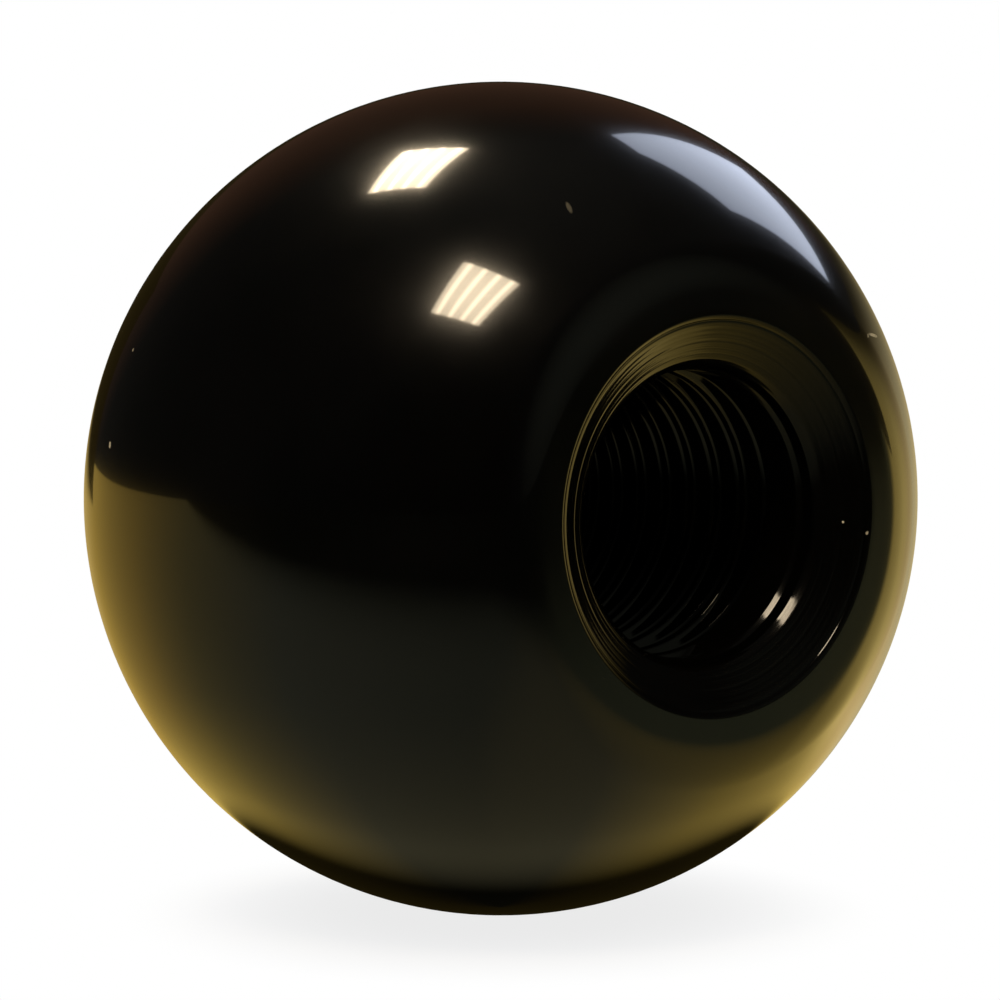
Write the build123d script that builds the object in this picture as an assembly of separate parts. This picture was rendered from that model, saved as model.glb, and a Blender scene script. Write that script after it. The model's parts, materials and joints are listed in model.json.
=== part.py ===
from build123d import *
import os
from math import acos, degrees, radians, sin, tan

# Ball knob of a seat release lever: one solid ball moulded from black phenolic resin,
# with a flat face and a blind, countersunk bore for the thread of the lever's rod.
# Millimetres, +Z up. The rod lies along Y and comes in from the front, so the face looks along -Y.
# The origin is where the bore's axis meets the plane of the face, which the rod's shoulder seats on.

# Ball
ball_diameter = 32.0

# Flat face: the diameter it would have with a sharp edge sets how much of the ball is missing.
# Its edge is rounded into the ball as far as the flat ring round the countersink lets it.
face_sharp_diameter = 18.0
face_edge_radius = 3.0
least_ring_width = 0.1

# Thread of the rod, a metric fine thread
thread_diameter = 12.0
thread_pitch = 1.5
thread_flank_angle = 60.0

# Countersink, with the rounded rim that polishing leaves
countersink_diameter = 14.3
countersink_angle = 118.0
rim_edge_radius = 1.0

# Plain shoulder between the countersink and the wall for the thread, with a chamfer at its end
shoulder_clearance = 0.16
shoulder_length = 0.65
shoulder_chamfer_angle = 80.0

# Bore, as wide as the thread's crests and measured from the face, with the flat end of a moulding core
bore_depth = 20.0

# Where the face cuts the ball: its angle from the ball's equator, and its height over the centre
ball_radius = ball_diameter / 2
face_radius = face_sharp_diameter / 2
face_latitude = degrees(acos(face_radius / ball_radius))
face_height = ball_radius * sin(radians(face_latitude))

# The crests of a metric nut thread stand 5/8 of the sharp thread's height inside its outer diameter
crest_share = 5 / 8
sharp_thread_height = thread_pitch / (2 * tan(radians(thread_flank_angle / 2)))
bore_radius = thread_diameter / 2 - crest_share * sharp_thread_height

# Depths of the corners inside the mouth
countersink_radius = countersink_diameter / 2
shoulder_radius = bore_radius + shoulder_clearance
countersink_depth = (countersink_radius - shoulder_radius) / tan(radians(countersink_angle / 2))
shoulder_depth = countersink_depth + shoulder_length
wall_depth = shoulder_depth + shoulder_clearance / tan(radians(shoulder_chamfer_angle / 2))

# An arc of radius r, tangent to ball and face, leaves a flat of radius sqrt(face_radius^2 - 2 r * cap_height)
cap_height = ball_radius - face_height
rim_reach = rim_edge_radius * tan(radians((180 - countersink_angle) / 4))
least_flat_radius = countersink_radius + rim_reach + least_ring_width
widest_edge_radius = (face_radius**2 - least_flat_radius**2) / (2 * cap_height)
edge_radius = min(face_edge_radius, widest_edge_radius)

# A plane through the bore's axis, and the axis itself, which points out of the bore
half_section = Plane(origin=(0, 0, 0), x_dir=(1, 0, 0), z_dir=(0, 0, -1))
bore_axis = Axis((0, 0, 0), (0, -1, 0))


def turned_knob():
    """The knob, revolved from its half section: radius across, height over the face up."""
    centre = (0, -face_height)
    back_pole = (0, -face_height - ball_radius)
    with BuildPart() as knob:
        with BuildSketch(half_section) as section:
            with BuildLine():
                CenterArc(centre, ball_radius, -90, 90 + face_latitude)
                Polyline(
                    (face_radius, 0),
                    (countersink_radius, 0),
                    (shoulder_radius, -countersink_depth),
                    (shoulder_radius, -shoulder_depth),
                    (bore_radius, -wall_depth),
                    (bore_radius, -bore_depth),
                    (0, -bore_depth),
                    back_pole,
                )
            make_face()
            rim_corner = section.vertices().sort_by(Axis.X)[-2]
            fillet(rim_corner, rim_edge_radius)
            face_corner = section.vertices().sort_by(Axis.X)[-1]
            fillet(face_corner, edge_radius)
        revolve(axis=bore_axis)
    return knob.part


os.makedirs("parts", exist_ok=True)
ball_knob = turned_knob()
export_step(ball_knob, "parts/ball_knob.step")
print("ball_knob", round(ball_knob.volume), "cubic mm, size", ball_knob.bounding_box().size)
print("bore radius", round(bore_radius, 4), "mm, wall from", round(wall_depth, 4), "mm deep")
print("ball's centre", round(face_height, 4), "mm behind the face, edge radius", round(edge_radius, 3), "mm")
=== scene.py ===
# %% [markdown]
# # A moulded ball knob with a threaded bore
# The object is the small black knob that is screwed on the rod of a seat release lever. It is one ball of
# phenolic resin, pressed in a polished mould, with a screwed core that leaves the thread in its bore.
# The CAD model holds its true size and the plain bore. This lesson adds what the eye sees from close by:
# the helix of the thread, the finishes of the resin, and the room that such a black mirror needs round it.

# %% Load the frame
import json
import math

import bmesh
import bpy
import numpy as np
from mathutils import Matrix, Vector


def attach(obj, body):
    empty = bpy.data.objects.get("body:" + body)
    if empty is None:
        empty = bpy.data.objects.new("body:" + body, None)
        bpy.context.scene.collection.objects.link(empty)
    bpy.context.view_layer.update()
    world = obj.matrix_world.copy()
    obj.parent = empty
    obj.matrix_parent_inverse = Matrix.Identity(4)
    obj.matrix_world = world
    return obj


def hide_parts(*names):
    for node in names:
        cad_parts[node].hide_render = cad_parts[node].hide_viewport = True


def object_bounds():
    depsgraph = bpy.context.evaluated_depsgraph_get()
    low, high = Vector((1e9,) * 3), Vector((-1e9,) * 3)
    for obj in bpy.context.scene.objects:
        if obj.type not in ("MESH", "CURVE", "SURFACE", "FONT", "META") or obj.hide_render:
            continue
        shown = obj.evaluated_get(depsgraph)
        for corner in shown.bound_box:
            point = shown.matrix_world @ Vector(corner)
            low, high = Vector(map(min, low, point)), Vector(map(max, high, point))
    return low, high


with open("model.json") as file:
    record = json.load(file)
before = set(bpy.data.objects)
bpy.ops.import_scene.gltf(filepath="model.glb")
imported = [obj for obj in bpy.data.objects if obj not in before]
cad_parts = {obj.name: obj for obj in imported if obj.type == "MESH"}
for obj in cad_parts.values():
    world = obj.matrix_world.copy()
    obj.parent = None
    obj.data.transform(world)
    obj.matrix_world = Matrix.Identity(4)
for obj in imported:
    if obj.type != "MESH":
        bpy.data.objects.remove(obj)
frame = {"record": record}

cad_low, cad_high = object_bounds()
print("CAD box, metres:", tuple(cad_low), tuple(cad_high))

# %% [markdown]
# ## Sizes
# Everything that the CAD model already knows is read from it, so that the knob here can never drift from
# it. The ball's radius is half of the box. The record's mount gives the radius of the bore and where its
# wall starts and ends. The rest of the mouth repeats the drawing's values: a countersink, a plain shoulder
# a little wider than the thread's crests, and a chamfer down to them. Two things differ from the drawing.
# The thread, a metric fine one, is new, and the rim of the countersink is sharper, because only a narrow
# rounding gives the thin line of light that runs along it. All shapes are worked out in millimetres,
# because that is how the drawing of a knob is read.

# %% Sizes in millimetres
MM = 0.001
box_low = np.array(cad_low) / MM
box_high = np.array(cad_high) / MM
thread_mount = next(mount for mount in frame["record"]["mounts"] if mount["name"] == "thread")

ball_radius = float(min(box_high[0], box_high[2], -box_low[0], -box_low[2]))
ball_depth = float(box_high[1]) - ball_radius
floor_height = float(box_low[2])

crest_radius = thread_mount["dims"]["r_mm"]
wall_start = thread_mount["pos_m"][1] / MM
wall_end = wall_start + thread_mount["dims"]["length_mm"]

face_edge_radius = 3.0
countersink_radius = 14.3 / 2
countersink_angle = 118
rim_edge_radius = 0.2
shoulder_clearance = 0.16
shoulder_chamfer_angle = 80
thread_pitch = 1.5
thread_radius = 6.0

countersink_slope = math.tan(math.radians(countersink_angle / 2))
shoulder_radius = crest_radius + shoulder_clearance
shoulder_end = wall_start - shoulder_clearance / math.tan(math.radians(shoulder_chamfer_angle / 2))
countersink_end = (countersink_radius - shoulder_radius) / countersink_slope
print("ball", round(2 * ball_radius, 3), "mm, bore", 2 * crest_radius, "mm")
print("bore wall from", round(wall_start, 3), "to", round(wall_end, 3), "mm")

# %% [markdown]
# ## The camera
# The photograph is a close view: the ball's outline is a circle that fills five sixths of the frame. Such a
# circle gives the lens as soon as the distance is known, because a ball seen from eight radii hides a cone
# whose half angle has a sine of one eighth. The direction comes from the ellipse of the bore's rim. The pixel
# or two that the circle's centre stands away from the middle of the frame become a tiny lens shift.

# %% Camera
PICTURE_PIXELS = 1000
BALL_CENTRE_PIXEL = (500.7, 498.5)
BALL_RADIUS_PIXELS = 417.0
SENSOR = 36.0
RADII_AWAY = 8
view_azimuth = math.radians(-36.5)
view_elevation = math.radians(3.57)
view_distance = RADII_AWAY * ball_radius * MM

ball_centre = Vector((0, ball_depth * MM, 0))
towards_camera = Vector((
    math.sin(view_azimuth) * math.cos(view_elevation),
    -math.cos(view_azimuth) * math.cos(view_elevation),
    math.sin(view_elevation),
))
outline_tangent = math.tan(math.asin(ball_radius * MM / view_distance))

camera_data = bpy.data.cameras.new("camera")
camera_data.sensor_width = SENSOR
camera_data.lens = SENSOR * BALL_RADIUS_PIXELS / PICTURE_PIXELS / outline_tangent
camera_data.shift_x = (PICTURE_PIXELS / 2 - BALL_CENTRE_PIXEL[0]) / PICTURE_PIXELS
camera_data.shift_y = (BALL_CENTRE_PIXEL[1] - PICTURE_PIXELS / 2) / PICTURE_PIXELS
camera_data.clip_start = 0.01
camera = bpy.data.objects.new("camera", camera_data)
camera.location = ball_centre + towards_camera * view_distance
camera.rotation_euler = (-towards_camera).to_track_quat("-Z", "Y").to_euler()
bpy.context.scene.collection.objects.link(camera)
bpy.context.scene.camera = camera
print("lens", round(camera_data.lens, 1), "mm, at", round(view_distance, 3), "m from the ball")

# %% [markdown]
# ## The outline
# On the bench this knob is a turned form: everything outside the thread is one outline spun about the
# bore's axis. A row of cylinders and cones cut from each other would give the same form, but its edges
# would be knife sharp, and a black glossy edge lives from the light that its rounding catches. So the
# outline is a list of points, depth along the bore and radius from it, with a true arc at each corner. It
# starts at the crown of the ball, comes round to the face and goes down the countersink and the shoulder to
# the wall. The core left two small things that throw the lamps back: a narrow facet where the countersink
# ends, and a few fine rings on it, which are shallow dips square to the outline.

# %% Arcs and corners
def arc(centre, radius, start, end, steps):
    """Points on a circle: the centre plus the radius times (cos, sin) of evenly spaced angles in radians.
    The first axis is the depth and the second the distance from the bore's axis."""
    angle = np.linspace(start, end, steps + 1)
    return np.stack([centre[0] + radius * np.cos(angle), centre[1] + radius * np.sin(angle)], axis=1)


def rounded_corner(before, corner, after, radius, steps):
    """The arc that replaces a corner. Its centre lies on the bisector, at radius / sin(half angle), and its
    points turn evenly from the first line's normal to the second's."""
    to_before = (before - corner) / np.linalg.norm(before - corner)
    to_after = (after - corner) / np.linalg.norm(after - corner)
    bisector = (to_before + to_after) / np.linalg.norm(to_before + to_after)
    half_angle = math.acos(float(np.dot(to_before, bisector)))
    centre = corner + bisector * radius / math.sin(half_angle)
    reach = radius / math.tan(half_angle)
    first = (corner + to_before * reach - centre) / radius
    last = (corner + to_after * reach - centre) / radius
    sweep = math.pi - 2 * half_angle
    share = np.linspace(0, 1, steps + 1)[:, None]
    turned = np.sin((1 - share) * sweep) * first + np.sin(share * sweep) * last
    return centre + radius * turned / math.sin(sweep)


def straight(start, end, steps):
    """Points between two ends, without the ends: start plus an even share of the way."""
    share = np.linspace(0, 1, steps + 1)[1:-1, None]
    return np.asarray(start) + share * (np.asarray(end) - np.asarray(start))


print("a quarter circle in two steps:", arc((0, 0), 1, 0, math.pi / 2, 2).round(3).tolist())

# %% Ring marks
RING_MARKS = ((6.97, 0.024, 0.04), (6.25, 0.005, 0.035), (5.98, 0.004, 0.035), (5.80, 0.011, 0.035))
plain_step = 0.15
fine_step = 0.022
fine_reach = 0.11
slope_samples = 800


def running_total(density):
    """The sum of a density up to each of its samples, by the mean of each two neighbours."""
    return np.concatenate([[0], np.cumsum((density[1:] + density[:-1]) / 2)])


def ring_marks(points):
    """Sinks the points of the countersink by a bell curve for each mark: its radius, depth and width."""
    sunk = sum(depth * np.exp(-((points[:, 1] - radius) / width) ** 2) for radius, depth, width in RING_MARKS)
    slope = math.atan(countersink_slope)
    return points + sunk[:, None] * np.array([math.sin(slope), math.cos(slope)])


def rows_with_marks(start, end):
    """Points on a slope from start to end, at the plain step and, near a ring mark, at the fine one."""
    length = np.linalg.norm(end - start)
    sample = np.linspace(0, 1, slope_samples + 1)
    radius = start[1] + sample * (end[1] - start[1])
    near = np.max([np.exp(-((radius - mark[0]) / fine_reach) ** 2) for mark in RING_MARKS], axis=0)
    density = 1 / plain_step + (1 / fine_step - 1 / plain_step) * near
    total = running_total(density * length / slope_samples)
    share = np.interp(np.linspace(0, total[-1], int(total[-1]) + 1), total, sample)[1:-1, None]
    return ring_marks(start + share * (end - start))


print("ring marks at radii of", [mark[0] for mark in RING_MARKS], "mm")

# %% Outline from the crown to the wall
facet_length = 0.4
facet_tilt = math.radians(40)
facet_rounding = 0.16
shoulder_rounding = 0.08
ball_steps = 84
face_edge_steps = 16
face_steps = 4
rim_steps = 8
small_corner_steps = 3

edge_depth = face_edge_radius
edge_radius = math.sqrt((ball_radius - face_edge_radius) ** 2 - (ball_depth - edge_depth) ** 2)
edge_angle = math.atan2(edge_radius, edge_depth - ball_depth)
face_end = np.array([0.0, edge_radius])
rim_corner = np.array([0.0, countersink_radius])
down_cone = np.array([1.0, -countersink_slope]) / math.hypot(1, countersink_slope)
down_bore = np.array([1.0, 0.0])
throat = np.array([countersink_end, shoulder_radius])
cone_angle = math.atan(countersink_slope)
facet_top = throat - down_cone * facet_length * math.sin(facet_tilt) / math.sin(cone_angle)
facet_foot = throat + down_bore * facet_length * math.sin(cone_angle - facet_tilt) / math.sin(cone_angle)
shoulder_foot = np.array([shoulder_end, shoulder_radius])
mouth_corner = np.array([wall_start, crest_radius])
wall_below = np.array([wall_end, crest_radius])

SMALL_CORNERS = (
    (rim_corner, facet_top, facet_foot, facet_rounding),
    (facet_top, facet_foot, shoulder_foot, facet_rounding / 2),
    (facet_foot, shoulder_foot, mouth_corner, shoulder_rounding),
    (shoulder_foot, mouth_corner, wall_below, shoulder_rounding))

ball_rows = arc((ball_depth, 0), ball_radius, 0, edge_angle, ball_steps)
edge_rows = arc((edge_depth, edge_radius), face_edge_radius, edge_angle, math.pi, face_edge_steps)[1:]
rim_rows = rounded_corner(face_end, rim_corner, throat, rim_edge_radius, rim_steps)
face_rows = straight(face_end, rim_rows[0], face_steps)
corner_rows = [rounded_corner(*corner, small_corner_steps) for corner in SMALL_CORNERS]
cone_rows = rows_with_marks(rim_rows[-1], corner_rows[0][0])
outline = np.concatenate([ball_rows, edge_rows, face_rows, rim_rows, cone_rows, *corner_rows])
mouth_from = len(ball_rows) + len(edge_rows) + len(face_rows)
print("outline", len(outline), "rows")
print("flat face", round(2 * rim_rows[0][1], 2), "to", round(2 * edge_radius, 2), "mm across")

# %% [markdown]
# ## The thread
# The thread is moulded by a screwed core, so it doesn't start at the mouth like a tapped one. It rises out
# of the plain wall within a tenth of a turn, a little below the shoulder, and winds deeper as it turns
# clockwise, which is right-handed. A bump texture would do for a far view, but here the camera looks at the
# flanks, and they throw the light back. So the wall is a grid whose rows follow the helix: each row keeps
# its place on the section of the groove and climbs by one pitch a turn. The section has the metric width
# and depth, a flat crest of a quarter pitch, and the rounded root that a moulded thread has.

# %% Section of the groove
groove_depth = thread_radius - crest_radius
crest_width = thread_pitch / 4
opening_half = (thread_pitch - crest_width) / 2
crest_softness = 0.2
first_groove = 2.75
thread_bottom = 16.0

# Where the helix starts, and how it rises and dies out, in turns
thread_start = 0.16
run_in = 0.1
run_out = 0.08


def ease(share):
    """The smooth step 3s^2 - 2s^3, held at 0 and 1 outside."""
    share = np.clip(share, 0, 1)
    return share * share * (3 - 2 * share)


def wall_radius(depth, turn):
    """The wall's distance from the axis at a depth and a share of a turn. Depth plus pitch times turn stays
    the same along a groove, so its nearest whole number counts the grooves and its rest is the place on the
    section, which is the curve 1 - |u|^3 of the place u, held at 0 on the crest with a soft bend."""
    along = (depth + thread_pitch * turn - first_groove) / thread_pitch
    groove = np.floor(along + 0.5)
    trough = 1 - np.abs((along - groove) * thread_pitch / opening_half) ** 3
    section = 0.5 * (trough + np.hypot(trough, crest_softness))
    travelled = groove - turn - thread_start
    last_turn = (thread_bottom - first_groove) / thread_pitch
    strength = ease(travelled / run_in) * ease((last_turn - travelled) / run_out)
    return crest_radius + groove_depth * strength * section


print("groove", round(groove_depth, 3), "mm deep and", 2 * opening_half, "mm wide, pitch", thread_pitch, "mm")

# %% Rows along the helix
wall_columns = 256
rows_per_turn = 18
spare_turns = 1.5
plain_lead = 0.15
thread_rows_from = wall_start + plain_lead
thread_rows_to = thread_bottom + thread_pitch
pitch_samples = 600
flank_density = 5
flank_reach = 0.08


def rows_of_one_turn():
    """Where the rows of one pitch lie: a density of rows, one everywhere and a bell more at each edge of the
    groove, is summed up, and the sum is divided evenly."""
    place = np.linspace(0, thread_pitch, pitch_samples + 1)
    edges = thread_pitch / 2 + np.array([-opening_half, opening_half])
    density = 1 + flank_density * np.exp(-(((place[:, None] - edges) / flank_reach) ** 2)).sum(axis=1)
    total = running_total(density)
    return np.interp(np.arange(rows_per_turn) / rows_per_turn * total[-1], total, place)


turns = math.ceil((thread_rows_to - first_groove) / thread_pitch + spare_turns)
start_places = first_groove - thread_pitch / 2 + thread_pitch * np.arange(turns)
places = (start_places[:, None] + rows_of_one_turn()[None, :]).ravel()
turn = np.linspace(0, 1, wall_columns + 1)
thread_depth = np.clip(places[:, None] - thread_pitch * turn[None, :], thread_rows_from, thread_rows_to)
thread_wall = wall_radius(thread_depth, turn[None, :])
print("thread", turns, "turns of rows,", thread_depth.shape, "grid")
print("deepest groove at a radius of", round(thread_wall.max(), 3), "mm")

# %% [markdown]
# ## One closed skin
# The real knob is one piece, so its skin is one mesh: outline rows, thread rows and bottom rows are stacked
# into a single grid and wound round the axis. The last column lies on the first one, a pitch further down in
# the thread, and the rows that the clip above has pushed together lie on each other. Merging by distance
# closes them all, and the poles with them. A solid is closed when each edge has exactly two faces, which is
# counted.

# %% Stack the rows
bottom_rounding = 0.3
bottom_corner_steps = 4
bottom_steps = 5


def spun(rows):
    """Repeats each row of the outline for every column: depth and radius as two grids."""
    return [np.repeat(rows[:, axis, None], wall_columns + 1, axis=1) for axis in (0, 1)]


bottom_centre = np.array([wall_end, 0.0])
above_bottom = np.array([thread_rows_to, crest_radius])
bottom_corner = rounded_corner(above_bottom, wall_below, bottom_centre, bottom_rounding, bottom_corner_steps)
bottom_flat = straight(bottom_corner[-1], bottom_centre, bottom_steps)
bottom_rows = np.concatenate([bottom_corner, bottom_flat, [bottom_centre]])

outside_depth, outside_radius = spun(outline)
bottom_depth, bottom_radius = spun(bottom_rows)
grid_depth = np.concatenate([outside_depth, thread_depth, bottom_depth])
grid_radius = np.concatenate([outside_radius, thread_wall, bottom_radius])
angle = 2 * math.pi * turn[None, :]
grid = np.stack([grid_radius * np.cos(angle), grid_depth, grid_radius * np.sin(angle)], axis=2)
print("grid", grid.shape)

# %% Mesh the grid
same_point = 1e-7
no_length = 1e-8
ringed_slot = 1
burnished_slot = 2


def skin(name, points, finish_of_row):
    """A mesh from a grid of points: each cell is a face whose corners run along the row first, so that it
    looks away from the solid, and whose finish is that of its row."""
    rows, columns = points.shape[:2]
    corner = np.arange(rows * columns).reshape(rows, columns)
    cells = np.stack([corner[:-1, :-1], corner[:-1, 1:], corner[1:, 1:], corner[1:, :-1]], axis=2)
    mesh = bpy.data.meshes.new(name)
    mesh.from_pydata((points.reshape(-1, 3) * MM).tolist(), [], cells.reshape(-1, 4).tolist())
    mesh.polygons.foreach_set("material_index", np.repeat(finish_of_row, columns - 1))
    shape = bmesh.new()
    shape.from_mesh(mesh)
    bmesh.ops.remove_doubles(shape, verts=shape.verts, dist=same_point)
    bmesh.ops.dissolve_degenerate(shape, edges=shape.edges, dist=no_length)
    open_edges = sum(1 for edge in shape.edges if len(edge.link_faces) != 2)
    volume = shape.calc_volume(signed=True) / MM ** 3
    print(name, "volume", round(volume), "cubic mm,", open_edges, "open edges")
    shape.to_mesh(mesh)
    shape.free()
    mesh.polygons.foreach_set("use_smooth", np.ones(len(mesh.polygons), dtype=bool))
    mesh.update()
    return mesh


finish_of_row = np.zeros(grid.shape[0] - 1, dtype=np.int32)
finish_of_row[mouth_from:len(outline)] = ringed_slot
finish_of_row[len(outline):] = burnished_slot
knob_mesh = skin("knob", grid, finish_of_row)
knob = bpy.data.objects.new("knob", knob_mesh)
bpy.context.scene.collection.objects.link(knob)
print("knob", sum(len(face.vertices) - 2 for face in knob_mesh.polygons), "triangles")

# %% [markdown]
# ## Colours and nodes
# A finish is easier to compare with a photograph when its colours are written as the screen shows them. One
# function turns such a hex value into the linear numbers that the shader wants. A second one adds any node,
# sets its options and links its inputs, so that a material reads as a short list of nodes.

# %% Helpers for materials
# A noise texture seldom leaves this range
NOISE_LOW = 0.3
NOISE_HIGH = 0.7


def linear(hex_colour):
    """An sRGB hex value as linear red, green, blue and alpha: below 0.04045 a twelfth, and above it a power
    of 2.4."""
    value = np.array([int(hex_colour[at:at + 2], 16) for at in (1, 3, 5)]) / 255
    shade = np.where(value <= 0.04045, value / 12.92, ((value + 0.055) / 1.055) ** 2.4)
    return (*shade.tolist(), 1.0)


def add_node(tree, kind, inputs=None, stops=None, **options):
    """Adds a node: options are its own settings, inputs give its sockets by name or number a value or another
    node's output, and stops are the places and hex colours of a ramp."""
    node = tree.nodes.new(kind)
    for option, value in options.items():
        setattr(node, option, value)
    for socket, value in (inputs or {}).items():
        if isinstance(value, bpy.types.NodeSocket):
            tree.links.new(value, node.inputs[socket])
        else:
            node.inputs[socket].default_value = value
    if stops:
        marks = node.color_ramp.elements
        for _ in range(len(stops) - len(marks)):
            marks.new(1.0)
        for mark, (place, colour) in zip(marks, stops):
            mark.position = place
            mark.color = linear(colour)
    return node


def new_material(name):
    """An empty node material and its tree."""
    material = bpy.data.materials.new(name)
    material.use_nodes = True
    material.node_tree.nodes.clear()
    return material, material.node_tree


print("the middle grey #808080 is", round(linear("#808080")[0], 3), "in linear light")

# %% [markdown]
# ## Polished phenolic
# Phenolic resin takes on the polish of its mould. The eye sees two things: a sharp, dim mirror image, as
# strong as an IOR of 1.5 gives, and a faint haze round bright lamps, from the filler that lies just under
# the skin of resin. One roughness can't do both. So the coat is the resin skin, nearly a mirror, and the
# base below it is black, much rougher and about half as strong. Dust that has settled on it shows as tiny
# pale specks. The sizes of the patterns are real ones in millimetres: clouds of filler, the wave of the skin
# and the space between grains of dust. The knob isn't new: its edge has a small nick on the right, and the
# ball a scratch and two crumbs of dirt. The nick's pale colour is a painted highlight for the light that its
# edges catch. Each is written as the two ends of a line, half its width and its strength, and a Mapping node
# turns space so that the line becomes a ball of radius 1, which one length then measures.

# %% A nick with a painted highlight, scratches and dust
# A real nick in the edge. Its pale colour is a painted highlight for the light that its edges catch
EDGE_NICK_AND_HIGHLIGHT = (
    ((7.55, 0.68, 6.42), (8.73, 1.41, 6.31), 0.09, 1.0),
    ((7.33, 0.56, 6.22), (7.60, 0.70, 6.43), 0.07, 0.8))
BALL_SCRATCH = (((-4.84, 2.84, 11.15), (-4.92, 2.40, 10.69), 0.10, 0.12),)
BALL_CRUMBS = (
    ((-15.52, 16.20, 2.25), (-15.49, 16.37, 2.52), 0.12, 0.9),
    ((-14.60, 16.08, 5.85), (-14.59, 16.24, 5.85), 0.08, 0.6))
MOUTH_CRUMBS = (
    ((6.20, 0.50, -0.46), (6.28, 0.58, -0.46), 0.05, 0.8),
    ((6.93, 0.03, -0.95), (7.06, 0.09, -0.79), 0.06, 0.5))
DIRT_AND_HIGHLIGHT_COLOUR = "#efe3c0"
DUST_COLOUR = "#55534c"
mark_core = 0.6
speck_core = 0.05
speck_edge = 0.09


def dust(tree, place, spacing, share):
    """One on specks and zero elsewhere. A Voronoi texture has a cell every spacing, in millimetres, and the
    cells whose random colour is above one less the share have a round speck at their centre."""
    cell = add_node(tree, "ShaderNodeTexVoronoi", {
        "Vector": place, "Scale": 1 / (spacing * MM), "Randomness": 1.0})
    random = add_node(tree, "ShaderNodeSeparateColor", {0: cell.outputs["Color"]})
    chosen = add_node(tree, "ShaderNodeMath", {
        0: random.outputs[0], 1: 1.0 - share}, operation="GREATER_THAN")
    speck = add_node(tree, "ShaderNodeMapRange", {
        "Value": cell.outputs["Distance"],
        "From Min": speck_core, "From Max": speck_edge, "To Min": 1.0, "To Max": 0.0})
    both = add_node(tree, "ShaderNodeMath", {
        0: chosen.outputs[0], 1: speck.outputs["Result"]}, operation="MULTIPLY")
    return both.outputs[0]


def wear_and_highlight(tree, place, marks):
    """How much of the resin is hidden: for each mark the strength inside an ellipsoid that reaches from the
    mark's first end to its second and is as thick as its half width, and zero outside."""
    hidden = 0.0
    for start, end, half_width, strength in marks:
        middle = (Vector(start) + Vector(end)) / 2 * MM
        along = (Vector(end) - Vector(start)) * MM
        inside = add_node(tree, "ShaderNodeMapping", {
            "Vector": place, "Location": middle, "Rotation": along.to_track_quat("X", "Z").to_euler(),
            "Scale": (along.length / 2, half_width * MM, half_width * MM)}, vector_type="TEXTURE")
        away = add_node(tree, "ShaderNodeVectorMath", {0: inside.outputs[0]}, operation="LENGTH")
        spot = add_node(tree, "ShaderNodeMapRange", {
            "Value": away.outputs["Value"],
            "From Min": mark_core, "From Max": 1.0, "To Min": strength, "To Max": 0.0})
        either = add_node(tree, "ShaderNodeMath", {0: hidden, 1: spot.outputs["Result"]}, operation="MAXIMUM")
        hidden = either.outputs[0]
    return hidden


print("marks of wear:", len(EDGE_NICK_AND_HIGHLIGHT + BALL_SCRATCH + BALL_CRUMBS + MOUTH_CRUMBS))

# %% Polished phenolic
RESIN_IOR = 1.5
cloud_size = 5.56
wave_size = 3.03
wave_height = 0.002
dust_spacing = 1.43
dusty_share = 0.012
skin_roughness = 0.05
haze_roughness = (0.15, 0.21)
haze_level = 0.24


def polished_phenolic():
    """Compression moulded phenolic: black filler under a glossy skin that waves by a few microns."""
    material, tree = new_material("polished_phenolic")
    place = add_node(tree, "ShaderNodeTexCoord")
    cloud = add_node(tree, "ShaderNodeTexNoise", {
        "Vector": place.outputs["Object"], "Scale": 1 / (cloud_size * MM), "Detail": 4.0})
    shade = add_node(tree, "ShaderNodeValToRGB", {"Fac": cloud.outputs["Fac"]},
                     stops=[(NOISE_LOW, "#020201"), (NOISE_HIGH, "#060504")])
    specks = dust(tree, place.outputs["Object"], dust_spacing, dusty_share)
    dusty = add_node(tree, "ShaderNodeMix", {
        0: specks, 6: shade.outputs["Color"], 7: linear(DUST_COLOUR)}, data_type="RGBA")
    # Pale marks: a painted highlight on the nick in the edge, and a real scratch and crumbs of dirt on the
    # ball
    worn_and_highlit = add_node(tree, "ShaderNodeMix", {
        0: wear_and_highlight(tree, place.outputs["Object"], EDGE_NICK_AND_HIGHLIGHT + BALL_SCRATCH + BALL_CRUMBS),
        6: dusty.outputs[2], 7: linear(DIRT_AND_HIGHLIGHT_COLOUR)}, data_type="RGBA")
    haze = add_node(tree, "ShaderNodeMapRange", {
        "Value": cloud.outputs["Fac"], "From Min": NOISE_LOW, "From Max": NOISE_HIGH,
        "To Min": haze_roughness[0], "To Max": haze_roughness[1]})
    wave = add_node(tree, "ShaderNodeTexNoise", {
        "Vector": place.outputs["Object"], "Scale": 1 / (wave_size * MM), "Detail": 2.0})
    ripple = add_node(tree, "ShaderNodeBump", {
        "Height": wave.outputs["Fac"], "Strength": 1.0, "Distance": wave_height * MM})
    resin = add_node(tree, "ShaderNodeBsdfPrincipled", {
        "Base Color": worn_and_highlit.outputs[2],
        "Roughness": haze.outputs["Result"],
        "IOR": RESIN_IOR,
        "Specular IOR Level": haze_level,
        "Coat Weight": 1.0,
        "Coat Roughness": skin_roughness,
        "Coat IOR": RESIN_IOR,
        "Normal": ripple.outputs["Normal"],
        "Coat Normal": ripple.outputs["Normal"],
    })
    add_node(tree, "ShaderNodeOutputMaterial", {"Surface": resin.outputs["BSDF"]})
    return material


knob_mesh.materials.append(polished_phenolic())
print("first finish:", knob_mesh.materials[0].name)

# %% [markdown]
# ## Phenolic from the core
# The countersink was pressed by the end of the core, a turned steel pin, and shows its rings: fine ridges
# one feed of the lathe apart, which the glossy resin has copied. They are too shallow to model, so they are
# a bump that depends on the distance from the bore's axis alone. In real life they are closer than the
# picture can show, so they are drawn as coarse as a pixel needs.

# %% Ringed phenolic
turning_feed = 0.16
ring_height = 0.01
ring_roughness = (0.06, 0.14)
ring_gloss_level = 0.35


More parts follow.
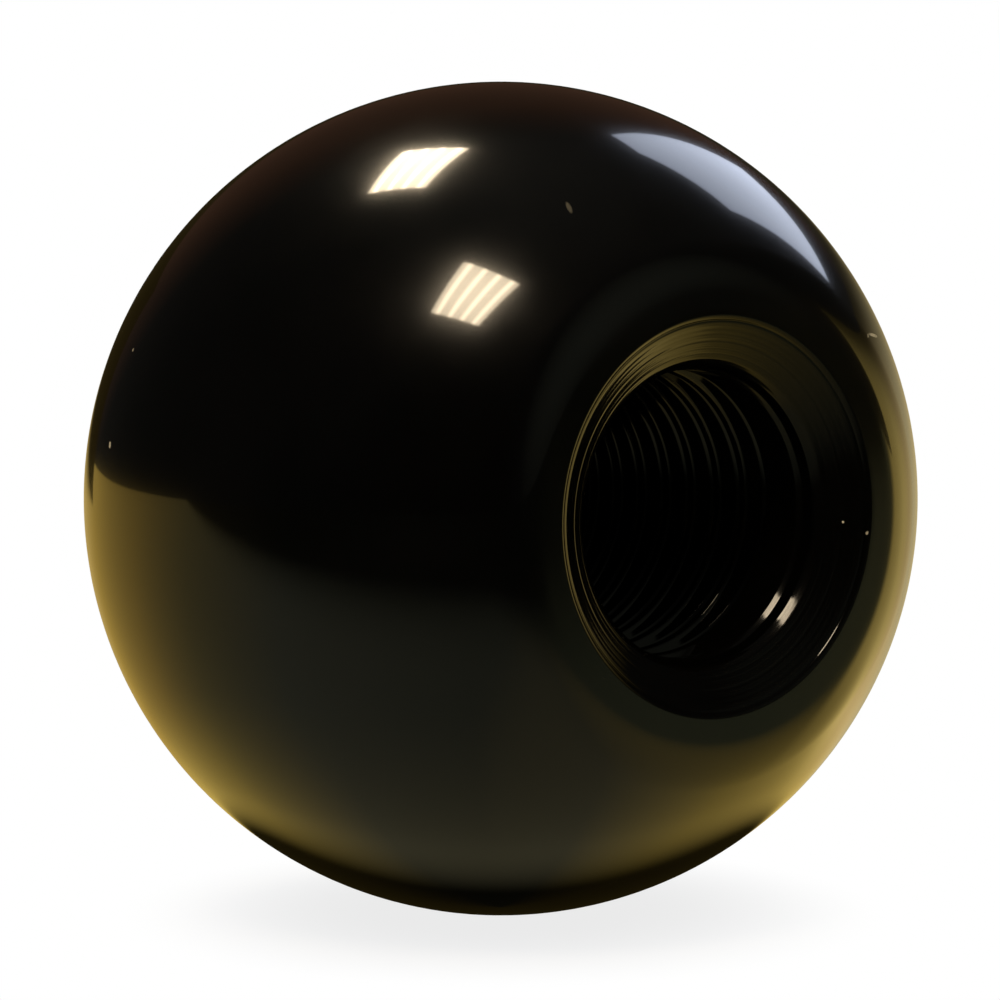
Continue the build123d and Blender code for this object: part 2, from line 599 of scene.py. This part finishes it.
def ringed_phenolic():
    """Phenolic pressed by a turned core: glossy, with concentric rings that are uneven from one to the next.
    Their height is a noise of one dimension, which is the distance from the bore's axis."""
    material, tree = new_material("ringed_phenolic")
    place = add_node(tree, "ShaderNodeTexCoord")
    across = add_node(tree, "ShaderNodeVectorMath", {
        0: place.outputs["Object"], 1: (1, 0, 1)}, operation="MULTIPLY")
    radius = add_node(tree, "ShaderNodeVectorMath", {0: across.outputs[0]}, operation="LENGTH")
    rings = add_node(tree, "ShaderNodeTexNoise", {
        "W": radius.outputs["Value"], "Scale": 1 / (turning_feed * MM), "Detail": 1.0}, noise_dimensions="1D")
    ridges = add_node(tree, "ShaderNodeBump", {
        "Height": rings.outputs["Fac"], "Strength": 1.0, "Distance": ring_height * MM})
    gloss = add_node(tree, "ShaderNodeMapRange", {
        "Value": rings.outputs["Fac"], "To Min": ring_roughness[0], "To Max": ring_roughness[1]})
    shade = add_node(tree, "ShaderNodeValToRGB", {"Fac": rings.outputs["Fac"]},
                     stops=[(0.0, "#020201"), (1.0, "#070604")])
    dirty = add_node(tree, "ShaderNodeMix", {
        0: wear_and_highlight(tree, place.outputs["Object"], MOUTH_CRUMBS),
        6: shade.outputs["Color"], 7: linear(DIRT_AND_HIGHLIGHT_COLOUR)}, data_type="RGBA")
    resin = add_node(tree, "ShaderNodeBsdfPrincipled", {
        "Base Color": dirty.outputs[2],
        "Roughness": gloss.outputs["Result"],
        "IOR": RESIN_IOR,
        "Specular IOR Level": ring_gloss_level,
        "Normal": ridges.outputs["Normal"],
    })
    add_node(tree, "ShaderNodeOutputMaterial", {"Surface": resin.outputs["BSDF"]})
    return material


knob_mesh.materials.append(ringed_phenolic())
print("second finish:", knob_mesh.materials[1].name)

# %% [markdown]
# ## Phenolic in the thread
# The thread was pressed by the core's ground screw, and unscrewing it rubbed the flanks bright, so they
# throw the light back in thin, clear lines. Scuffs of a tenth of a millimetre are left, which a fine noise
# in the roughness stands for: the eye sees them as small breaks in those lines.

# %% Burnished phenolic
scuff_size = 0.111
scuffed_roughness = (0.04, 0.07)


def burnished_phenolic():
    """Phenolic that a screwed core has rubbed: black and glossy, with scuffs of a tenth of a millimetre."""
    material, tree = new_material("burnished_phenolic")
    place = add_node(tree, "ShaderNodeTexCoord")
    scuffs = add_node(tree, "ShaderNodeTexNoise", {
        "Vector": place.outputs["Object"], "Scale": 1 / (scuff_size * MM), "Detail": 3.0})
    gloss = add_node(tree, "ShaderNodeMapRange", {
        "Value": scuffs.outputs["Fac"], "From Min": NOISE_LOW, "From Max": NOISE_HIGH,
        "To Min": scuffed_roughness[0], "To Max": scuffed_roughness[1]})
    shade = add_node(tree, "ShaderNodeValToRGB", {"Fac": scuffs.outputs["Fac"]},
                     stops=[(NOISE_LOW, "#020201"), (NOISE_HIGH, "#060503")])
    resin = add_node(tree, "ShaderNodeBsdfPrincipled", {
        "Base Color": shade.outputs["Color"],
        "Roughness": gloss.outputs["Result"],
        "IOR": RESIN_IOR,
    })
    add_node(tree, "ShaderNodeOutputMaterial", {"Surface": resin.outputs["BSDF"]})
    return material


knob_mesh.materials.append(burnished_phenolic())
print("third finish:", knob_mesh.materials[2].name)

# %% [markdown]
# ## Floor and white background
# The knob lies on white, with a soft shadow under it. The floor is part diffuse white, which takes the
# shadow, and part light of strength 1, which only the camera and mirror images see. The diffuse part dies
# out away from the knob, so the floor melts into the white world with no horizon. For every other ray both
# are plain, so the white adds no light to the object.

# %% World
WHITE = "#ffffff"
FILL_COLOUR = "#c4d2e8"
fill_strength = 0.2


def seen_ray(tree):
    """One for a ray that comes from the camera, a mirror image or through glass, and zero for light."""
    path = add_node(tree, "ShaderNodeLightPath")
    mirror = add_node(tree, "ShaderNodeMath", {
        0: path.outputs["Is Camera Ray"], 1: path.outputs["Is Glossy Ray"]}, operation="MAXIMUM")
    glass = add_node(tree, "ShaderNodeMath", {
        0: mirror.outputs[0], 1: path.outputs["Is Transmission Ray"]}, operation="MAXIMUM")
    return glass.outputs[0]


world = bpy.data.worlds.new("studio")
world.use_nodes = True
world.node_tree.nodes.clear()
fill = add_node(world.node_tree, "ShaderNodeBackground", {
    "Color": linear(FILL_COLOUR), "Strength": fill_strength})
white = add_node(world.node_tree, "ShaderNodeBackground", {"Color": linear(WHITE), "Strength": 1.0})
either = add_node(world.node_tree, "ShaderNodeMixShader", {
    0: seen_ray(world.node_tree), 1: fill.outputs[0], 2: white.outputs[0]})
add_node(world.node_tree, "ShaderNodeOutputWorld", {"Surface": either.outputs[0]})
bpy.context.scene.world = world
bpy.context.scene.view_settings.view_transform = "Standard"
print("world light", fill_strength, "of", FILL_COLOUR)

# %% Floor
PAPER_COLOUR = "#f2f2f2"
floor_half = 3.0
shadow_core = 16.5 * MM
shadow_reach = 22 * MM
paper_glow = 0.82


def stage_mesh(name, points, faces, material):
    """A piece of the stage: a mesh that isn't part of the object."""
    mesh = bpy.data.meshes.new(name)
    mesh.from_pydata(points, [], faces)
    mesh.materials.append(material)
    piece = bpy.data.objects.new(name, mesh)
    bpy.context.scene.collection.objects.link(piece)
    return piece


def flat_square(half, height):
    """The corners of a square that lies level under the ball."""
    return [(x * half, ball_centre.y + y * half, height) for x, y in ((-1, -1), (1, -1), (1, 1), (-1, 1))]


def white_floor():
    """White paper: diffuse near the knob, and light of strength 1 for seeing rays further out."""
    material, tree = new_material("white_floor")
    place = add_node(tree, "ShaderNodeTexCoord")
    away = add_node(tree, "ShaderNodeVectorMath", {
        0: place.outputs["Object"], 1: ball_centre}, operation="DISTANCE")
    share = add_node(tree, "ShaderNodeMapRange", {
        "Value": away.outputs["Value"],
        "From Min": shadow_core, "From Max": shadow_reach, "To Min": paper_glow, "To Max": 1.0},
        interpolation_type="SMOOTHSTEP")
    seen = add_node(tree, "ShaderNodeMath", {
        0: seen_ray(tree), 1: share.outputs["Result"]}, operation="MULTIPLY")
    paper = add_node(tree, "ShaderNodeBsdfDiffuse", {"Color": linear(PAPER_COLOUR)})
    light = add_node(tree, "ShaderNodeEmission", {"Color": linear(WHITE), "Strength": 1.0})
    mixed = add_node(tree, "ShaderNodeMixShader", {
        0: seen.outputs[0], 1: paper.outputs[0], 2: light.outputs[0]})
    add_node(tree, "ShaderNodeOutputMaterial", {"Surface": mixed.outputs[0]})
    return material


stage_mesh("floor", flat_square(floor_half, floor_height * MM), [(0, 1, 2, 3)], white_floor())
print("floor at", round(floor_height, 3), "mm")

# %% [markdown]
# ## Cards for a black mirror
# A polished black ball has no colour of its own: what it shows is its surroundings, and in a white void it
# would look like grey fog. Photographers of such things stand dark and warm cards round it, just out of the
# picture. Here they are a table card, its far side, a room and a window, seen only by mirror images and so
# without any effect on the light. All of them glow faintly by themselves, so their light is painted. The
# shade at the knob's foot and a shadow towards the photographer are painted on the table card, because
# lamps that lit the card would light the room as well.

# %% Directions and hidden cards
def seen_in_mirrors_only(piece):
    """Hides a card from everything but glossy rays."""
    piece.visible_camera = False
    piece.visible_diffuse = False
    piece.visible_transmission = False
    piece.visible_volume_scatter = False
    piece.visible_shadow = False


def compass(azimuth, elevation=0.0):
    """The unit vector of a direction as the camera's angles are counted: 0 is -Y, and it turns towards +X."""
    turned, raised = math.radians(azimuth), math.radians(elevation)
    return (math.sin(turned) * math.cos(raised), -math.cos(turned) * math.cos(raised), math.sin(raised))


def full_circle_share(azimuth):
    """What a radial gradient gives for an azimuth in degrees: 0.5 plus its share of the full circle."""
    return 0.5 + azimuth / 360


print("45 degrees is towards", tuple(round(part, 3) for part in compass(45)))

# %% Table card, with painted shade and shadow
TABLE_POINT = (-2.5 * MM, ball_centre.y - 3.4 * MM, floor_height * MM)
SHADE_POINT = (3.5 * MM, ball_centre.y + 4.5 * MM, floor_height * MM)
TABLE_COLOURS = (
    (-180, "#947a38"), (-150, "#8f763a"), (-125, "#706540"), (-95, "#5a5a4b"), (-5, "#43453a"),
    (38, "#4b4f3c"), (50, "#66603e"), (56, "#fad976"), (75, "#ffe084"), (92, "#c8ad71"), (115, "#978a66"),
    (180, "#947a38"))
NEAR_COLOURS = ((0.0, "#a38b44"), (0.75, "#645f48"))
near_azimuth = -45
near_start = 12 * MM
near_reach = (28 * MM, 70 * MM)
ahead_azimuth = 20
ahead_blend = (0.4, 0.9)

room_radius = 2.0
card_height = (floor_height + 0.03) * MM


def table_colour(tree, level, distance):
    """The card's colour, and the bearing from the knob's foot as the gradient gives it. Far off the colour
    goes by that bearing, and close to the knob it is golden, furthest out ahead of the face."""
    turned = add_node(tree, "ShaderNodeMapping", {
        "Vector": level, "Rotation": (0, 0, math.pi / 2)}, vector_type="VECTOR")
    bearing = add_node(tree, "ShaderNodeTexGradient", {"Vector": turned.outputs[0]}, gradient_type="RADIAL")
    far = add_node(tree, "ShaderNodeValToRGB", {"Fac": bearing.outputs["Fac"]},
                   stops=[(full_circle_share(azimuth), colour) for azimuth, colour in TABLE_COLOURS])
    direction = add_node(tree, "ShaderNodeVectorMath", {0: level}, operation="NORMALIZE")
    front = add_node(tree, "ShaderNodeVectorMath", {
        0: direction.outputs[0], 1: compass(near_azimuth)}, operation="DOT_PRODUCT")
    near = add_node(tree, "ShaderNodeValToRGB", {"Fac": front.outputs["Value"]}, stops=NEAR_COLOURS)
    ahead = add_node(tree, "ShaderNodeVectorMath", {
        0: direction.outputs[0], 1: compass(ahead_azimuth)}, operation="DOT_PRODUCT")
    reach = add_node(tree, "ShaderNodeMapRange", {
        "Value": ahead.outputs["Value"], "From Min": ahead_blend[0], "From Max": ahead_blend[1],
        "To Min": near_reach[0], "To Max": near_reach[1]}, interpolation_type="SMOOTHSTEP")
    close = add_node(tree, "ShaderNodeMapRange", {
        "Value": distance, "From Min": near_start, "From Max": reach.outputs["Result"]},
        interpolation_type="SMOOTHSTEP")
    colour = add_node(tree, "ShaderNodeMix", {
        0: close.outputs["Result"], 6: near.outputs["Color"], 7: far.outputs["Color"]}, data_type="RGBA")
    return colour.outputs[2], bearing.outputs["Fac"]


brightest = 1.7
# Painted shadow towards the photographer, and painted shade at the knob's foot
photographer_shadow_share = 0.06
photographer_shadow_azimuth = -40
photographer_shadow_band = (20 * MM, 55 * MM)
foot_band = (11.5 * MM, 15.5 * MM)
foot_light = 0.02
side_distance = 0.25
side_elevation = 16
side_height = math.tan(math.radians(side_elevation)) * side_distance
side_taper = (115, 178)
side_end_height = (floor_height + 1) * MM
side_top_light = 0.04


def table_strength(tree, place, around, distance, bearing):
    """How much the card glows: least in a painted shadow towards the photographer, in the painted shade at
    the knob's foot and at the top of the far side, which gets lower from one azimuth of its taper to the
    other."""
    forward = add_node(tree, "ShaderNodeVectorMath", {
        0: around, 1: compass(photographer_shadow_azimuth)}, operation="DOT_PRODUCT")
    # A painted shadow towards the photographer
    dark = add_node(tree, "ShaderNodeMapRange", {
        "Value": forward.outputs["Value"], "From Min": photographer_shadow_band[0], "From Max": photographer_shadow_band[1],
        "To Min": brightest, "To Max": photographer_shadow_share * brightest}, interpolation_type="SMOOTHSTEP")
    foot_shade = add_node(tree, "ShaderNodeMapRange", {
        "Value": distance, "From Min": foot_band[0], "From Max": foot_band[1], "To Min": foot_light},
        interpolation_type="SMOOTHSTEP")
    top = add_node(tree, "ShaderNodeMapRange", {
        "Value": bearing,
        "From Min": full_circle_share(side_taper[0]), "From Max": full_circle_share(side_taper[1]),
        "To Min": side_height, "To Max": side_end_height})
    height = add_node(tree, "ShaderNodeSeparateXYZ", {0: place})
    rise = add_node(tree, "ShaderNodeMapRange", {
        "Value": height.outputs["Z"], "From Min": floor_height * MM, "From Max": top.outputs["Result"],
        "To Min": 1.0, "To Max": side_top_light}, interpolation_type="SMOOTHSTEP")
    lit = add_node(tree, "ShaderNodeMath", {
        0: dark.outputs["Result"], 1: foot_shade.outputs["Result"]}, operation="MULTIPLY")
    strength = add_node(tree, "ShaderNodeMath", {
        0: lit.outputs[0], 1: rise.outputs["Result"]}, operation="MULTIPLY")
    return strength.outputs[0]


def table_card():
    """A glowing table top: yellow behind the knob and grey in front of it, with a painted shadow towards the
    photographer, painted shade at the knob's foot, and golden close to the knob."""
    material, tree = new_material("table_card")
    place = add_node(tree, "ShaderNodeTexCoord")
    around = add_node(tree, "ShaderNodeVectorMath", {
        0: place.outputs["Object"], 1: TABLE_POINT}, operation="SUBTRACT")
    level = add_node(tree, "ShaderNodeVectorMath", {
        0: around.outputs[0], 1: (1, 1, 0)}, operation="MULTIPLY")
    distance = add_node(tree, "ShaderNodeVectorMath", {
        0: place.outputs["Object"], 1: SHADE_POINT}, operation="DISTANCE")
    colour, bearing = table_colour(tree, level.outputs[0], distance.outputs["Value"])
    strength = table_strength(
        tree, place.outputs["Object"], around.outputs[0], distance.outputs["Value"], bearing)
    light = add_node(tree, "ShaderNodeEmission", {"Color": colour, "Strength": strength})
    add_node(tree, "ShaderNodeOutputMaterial", {"Surface": light.outputs[0]})
    return material


table = stage_mesh("table_card", flat_square(room_radius, card_height), [(0, 1, 2, 3)], table_card())
seen_in_mirrors_only(table)
print("table card", 2 * room_radius, "m wide")

# %% The table's far side
SIDE_AZIMUTHS = (57, 178)
side_columns = 60


def upright_strip(azimuths, distance, low, high):
    """The points of a curved wall: the direction of each azimuth times the distance, at two heights."""
    turned = np.radians(azimuths)
    level = distance * np.stack([np.sin(turned), -np.cos(turned)], axis=1) + np.array([0, ball_centre.y])
    points = np.concatenate([np.column_stack([level, np.full(len(level), z)]) for z in (low, high)])
    corner = np.arange(len(azimuths) - 1)
    cells = np.stack([corner, corner + 1, corner + 1 + len(azimuths), corner + len(azimuths)], axis=1)
    return points.tolist(), cells.tolist()


side_points, side_faces = upright_strip(
    np.linspace(*SIDE_AZIMUTHS, side_columns), side_distance, card_height, side_height)
side = stage_mesh("side_card", side_points, side_faces, table.data.materials[0])
seen_in_mirrors_only(side)
print("side card", round(side_height / MM), "mm high")

# %% Room card
WALL_COLOURS = ((0.0, "#1c1c1a"), (0.6, "#201f1d"), (0.87, "#2c2b28"), (1.0, "#403f3b"))
BROWN_CORNER = ((150, 25), (0.8, 0.95), "#3e2b20")
PALE_WALL = ((22, 22), (0.87, 1.0), "#4f5148")
gloom_azimuth = -45
gloom_blend = (0.75, 0.95)
gloom_light = 0.15
room_rows = 24
room_columns = 48


def room_card():
    """A dim room: palest overhead, red brown behind the knob, black behind the camera. A patch of it is the
    bearing and elevation of its middle, two cosines between which it fades in, and its colour."""
    material, tree = new_material("room_card")
    place = add_node(tree, "ShaderNodeTexCoord")
    around = add_node(tree, "ShaderNodeVectorMath", {
        0: place.outputs["Object"], 1: ball_centre}, operation="SUBTRACT")
    direction = add_node(tree, "ShaderNodeVectorMath", {0: around.outputs[0]}, operation="NORMALIZE")
    height = add_node(tree, "ShaderNodeSeparateXYZ", {0: direction.outputs[0]})
    wall = add_node(tree, "ShaderNodeValToRGB", {"Fac": height.outputs["Z"]}, stops=WALL_COLOURS)
    colour = wall.outputs["Color"]
    for middle, fade, patch_colour in (BROWN_CORNER, PALE_WALL):
        facing = add_node(tree, "ShaderNodeVectorMath", {
            0: direction.outputs[0], 1: compass(*middle)}, operation="DOT_PRODUCT")
        share = add_node(tree, "ShaderNodeMapRange", {
            "Value": facing.outputs["Value"], "From Min": fade[0], "From Max": fade[1]})
        patch = add_node(tree, "ShaderNodeMix", {
            0: share.outputs["Result"], 6: colour, 7: linear(patch_colour)}, data_type="RGBA")
        colour = patch.outputs[2]
    front = add_node(tree, "ShaderNodeVectorMath", {
        0: direction.outputs[0], 1: compass(gloom_azimuth)}, operation="DOT_PRODUCT")
    gloom = add_node(tree, "ShaderNodeMapRange", {
        "Value": front.outputs["Value"], "From Min": gloom_blend[0], "From Max": gloom_blend[1],
        "To Min": 1.0, "To Max": gloom_light})
    light = add_node(tree, "ShaderNodeEmission", {"Color": colour, "Strength": gloom.outputs["Result"]})
    add_node(tree, "ShaderNodeOutputMaterial", {"Surface": light.outputs[0]})
    return material


def dome(radius, rows, columns):
    """A half ball over the table: corner (i, j) at elevation 90 i / rows and azimuth 360 j / columns."""
    elevation, azimuth = np.meshgrid(
        np.linspace(0, math.pi / 2, rows + 1), np.linspace(0, 2 * math.pi, columns, endpoint=False),
        indexing="ij")
    level = np.cos(elevation) * radius
    points = np.stack([level * np.cos(azimuth), level * np.sin(azimuth), np.sin(elevation) * radius], axis=2)
    points += np.array([0, ball_centre.y, floor_height * MM])
    corner = np.arange((rows + 1) * columns).reshape(rows + 1, columns)
    after = np.roll(corner, -1, axis=1)
    cells = np.stack([corner[:-1], after[:-1], after[1:], corner[1:]], axis=2)
    return points.reshape(-1, 3).tolist(), cells.reshape(-1, 4).tolist()


room_points, room_faces = dome(room_radius, room_rows, room_columns)
room = stage_mesh("room_card", room_points, room_faces, room_card())
seen_in_mirrors_only(room)
print("room card", len(room_faces), "faces")

# %% The window
WINDOW_CORNERS = ((0.12, 0.38), (-0.26, 0.40), (-0.22, 1.16), (-0.05, 1.22), (0.25, 0.91))
WINDOW_COLOUR = "#dfe9ff"
window_light = 1.9
window_distance = 1.1
window_azimuth = 110


def window_card():
    """Daylight through a pane: bluish, and plain."""
    material, tree = new_material("window_card")
    light = add_node(tree, "ShaderNodeEmission", {"Color": linear(WINDOW_COLOUR), "Strength": window_light})
    add_node(tree, "ShaderNodeOutputMaterial", {"Surface": light.outputs[0]})
    return material


def on_wall(azimuth, distance, side, up):
    """A point on an upright wall at a distance from the ball: out along the azimuth, then sideways and up by
    shares of that distance."""
    out = Vector(compass(azimuth))
    aside = Vector(compass(azimuth - 90))
    return ball_centre + distance * (out + side * aside + up * Vector((0, 0, 1)))


window_points = [on_wall(window_azimuth, window_distance, side, up) for side, up in WINDOW_CORNERS]
window = stage_mesh("window_card", window_points, [tuple(range(len(window_points)))], window_card())
seen_in_mirrors_only(window)
print("window at", tuple(round(part, 2) for part in window_points[0]))

# %% [markdown]
# ## Lamps
# Two ceiling fixtures light the knob, each a warm white panel with four tubes behind it. They are area
# lamps, so their shadows are soft, and the ball shows their true outline as its two highlights. The tubes
# are stripes in the lamp's own nodes. The lamp's power is pi times its area, because then the strength in
# its nodes is simply how bright the panel looks.

# %% Ceiling fixtures
LAMP_COLOUR = "#ffe9c6"
ceiling_height = 1.2
tube_count = 4
tube_edge = (0.12, 0.22)
tube_light = 27.0
panel_light = 13.5


def ceiling_fixture(name, centre, length, width, turned):
    """An area lamp on the ceiling: centre and sizes as shares of the ceiling's height, turned about the
    vertical by degrees."""
    lamp = bpy.data.lights.new(name, "AREA")
    lamp.shape = "RECTANGLE"
    lamp.size = length * ceiling_height
    lamp.size_y = width * ceiling_height
    lamp.energy = math.pi * lamp.size * lamp.size_y
    lamp.use_nodes = True
    tree = lamp.node_tree
    tree.nodes.clear()
    place = add_node(tree, "ShaderNodeNewGeometry")
    across = add_node(tree, "ShaderNodeSeparateXYZ", {0: place.outputs["Parametric"]})
    count = add_node(tree, "ShaderNodeMath", {
        0: across.outputs["Y"], 1: float(tube_count)}, operation="MULTIPLY")
    tube = add_node(tree, "ShaderNodeMath", {0: count.outputs[0]}, operation="FRACT")
    aside = add_node(tree, "ShaderNodeMath", {0: tube.outputs[0], 1: 0.5}, operation="SUBTRACT")
    gap = add_node(tree, "ShaderNodeMath", {0: aside.outputs[0]}, operation="ABSOLUTE")
    strength = add_node(tree, "ShaderNodeMapRange", {
        "Value": gap.outputs[0], "From Min": tube_edge[0], "From Max": tube_edge[1],
        "To Min": tube_light, "To Max": panel_light})
    light = add_node(tree, "ShaderNodeEmission", {
        "Color": linear(LAMP_COLOUR), "Strength": strength.outputs["Result"]})
    add_node(tree, "ShaderNodeOutputLight", {"Surface": light.outputs[0]})
    fixture = bpy.data.objects.new(name, lamp)
    fixture.location = ball_centre + Vector((centre[0], centre[1], 1)) * ceiling_height
    fixture.rotation_euler = (0, 0, math.radians(turned))
    fixture.visible_camera = False
    bpy.context.scene.collection.objects.link(fixture)
    print(name, "power", round(lamp.energy, 2), "W for a brightness of 1")


ceiling_fixture("front_fixture", centre=(-0.474, -0.412), length=0.378, width=0.285, turned=20)
ceiling_fixture("back_fixture", centre=(-0.017, 0.427), length=0.308, width=0.23, turned=24)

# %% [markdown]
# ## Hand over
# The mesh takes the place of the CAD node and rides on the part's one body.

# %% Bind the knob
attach(knob, "root")
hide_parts("ball_knob")
